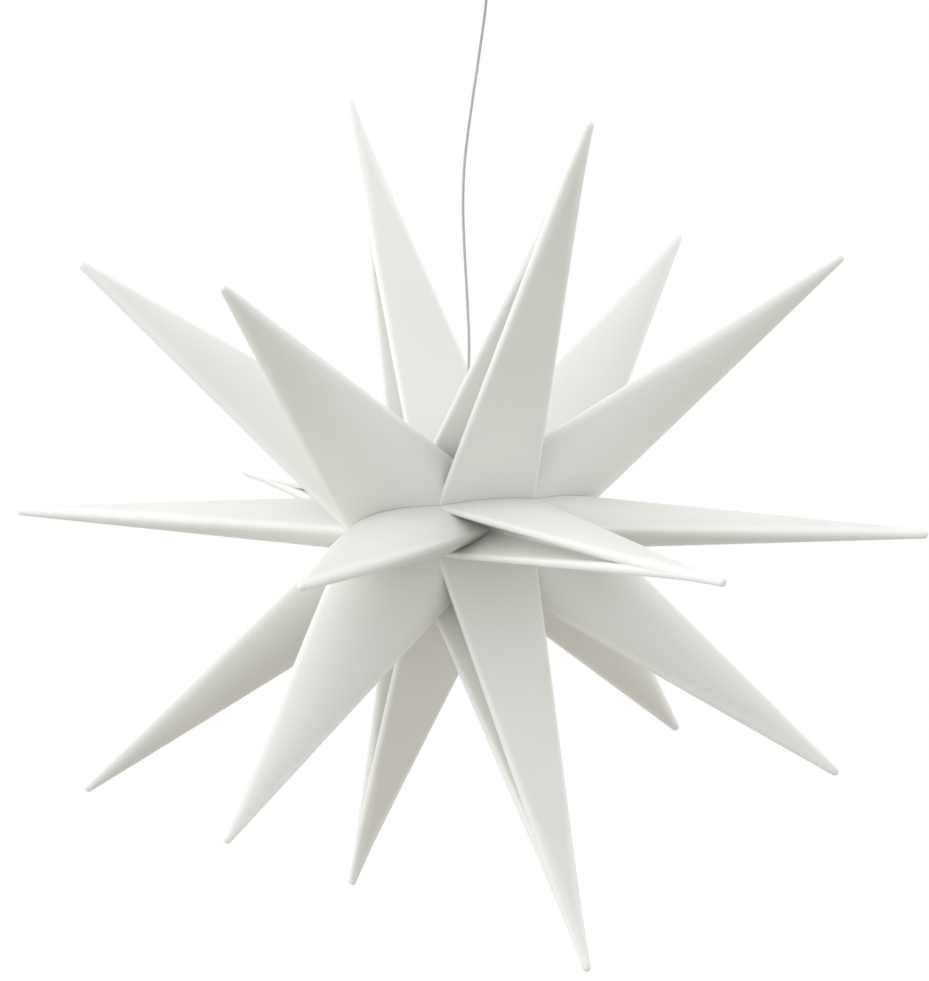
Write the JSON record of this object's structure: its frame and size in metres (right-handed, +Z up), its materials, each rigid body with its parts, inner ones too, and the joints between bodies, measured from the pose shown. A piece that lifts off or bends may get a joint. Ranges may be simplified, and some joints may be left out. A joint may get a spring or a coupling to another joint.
{
  "type": "led christmas star pendant lamp",
  "caption": "Hanging white star of hollow folding spikes around a small LED lamp, on a thin lead with a ceiling cup.",
  "frame": {"origin": "centre of the ceiling face, on top of the bracket's strap, in the middle between the two ceiling screws", "axes": "+Z up, out of the ceiling face; +X along the bracket and the star's long axis; -Y towards the front middle spike"},
  "size_m": [0.4212, 0.57, 0.6029],
  "materials": {
    "shell": "satin white polypropylene",
    "white_plastic": "smooth white",
    "lead_sheath": "satin light grey",
    "light_metal": "brushed",
    "steel": "zinc plated",
    "circuit_board": "white solder mask",
    "chip": "yellow phosphor",
    "diffuser": "frosted",
    "driver_case": "moulded"
  },
  "bodies": {
    "ceiling_fitting_and_lamp": {"ceiling_cup": "white_plastic", "ceiling_bracket": "steel", "cup_screws": "steel", "cord_grip": "white_plastic", "grip_nut": "steel", "lead_driver": "driver_case", "terminal_block": "driver_case", "lead": "lead_sheath", "strain_relief": "lead_sheath", "seam_collar": "white_plastic", "lead_stop": "steel", "lamp_wires": "lead_sheath", "lamp_cap": "white_plastic", "cap_screws": "steel", "board_carrier": "light_metal", "light_strips": "circuit_board", "light_chips": "chip", "diffuser": "diffuser"},
    "segment_1": {"segment_1_shell_a": "shell", "segment_1_shell_b": "shell", "hinge_1_2_upper_leaf": "shell", "closing_sockets": "shell"},
    "segment_2": {"segment_2_shell_a": "shell", "segment_2_shell_b": "shell", "hinge_2_3_upper_leaf": "shell", "hinge_1_2_lower_leaf": "shell"},
    "segment_3": {"segment_3_shell_a": "shell", "segment_3_shell_b": "shell", "hinge_3_4_upper_leaf": "shell", "hinge_2_3_lower_leaf": "shell"},
    "segment_4": {"segment_4_shell_a": "shell", "segment_4_shell_b": "shell", "hinge_4_5_upper_leaf": "shell", "hinge_3_4_lower_leaf": "shell"},
    "segment_5": {"segment_5_shell_a": "shell", "segment_5_shell_b": "shell", "hinge_5_6_upper_leaf": "shell", "hinge_4_5_lower_leaf": "shell"},
    "segment_6": {"segment_6_shell_a": "shell", "segment_6_shell_b": "shell", "hinge_5_6_lower_leaf": "shell", "closing_studs": "shell"}
  },
  "joints": [
    {"name": "star_turn", "type": "hinge", "parent": "ceiling_fitting_and_lamp", "child": "segment_1", "pos_m": [-0.0111, 0.0064, -0.356], "axis": [0, 0, 1], "continuous": true},
    {"name": "seam_1_2", "type": "hinge", "parent": "segment_1", "child": "segment_2", "pos_m": [-0.0111, -0.02447, -0.33818], "axis": [-1, 0, 0], "range_deg": [0, 55]},
    {"name": "seam_2_3", "type": "hinge", "parent": "segment_2", "child": "segment_3", "pos_m": [-0.0111, -0.02447, -0.37382], "axis": [-1, 0, 0], "range_deg": [0, 55]},
    {"name": "seam_3_4", "type": "hinge", "parent": "segment_3", "child": "segment_4", "pos_m": [-0.0111, 0.0064, -0.39165], "axis": [-1, 0, 0], "range_deg": [0, 55]},
    {"name": "seam_4_5", "type": "hinge", "parent": "segment_4", "child": "segment_5", "pos_m": [-0.0111, 0.03727, -0.37382], "axis": [-1, 0, 0], "range_deg": [0, 55]},
    {"name": "seam_5_6", "type": "hinge", "parent": "segment_5", "child": "segment_6", "pos_m": [-0.0111, 0.03727, -0.33818], "axis": [-1, 0, 0], "range_deg": [0, 55]}
  ],
  "couplings": [
    {"joint": "seam_2_3", "follows": "seam_1_2", "ratio": 1},
    {"joint": "seam_3_4", "follows": "seam_1_2", "ratio": 1},
    {"joint": "seam_4_5", "follows": "seam_1_2", "ratio": 1},
    {"joint": "seam_5_6", "follows": "seam_1_2", "ratio": 1}
  ]
}
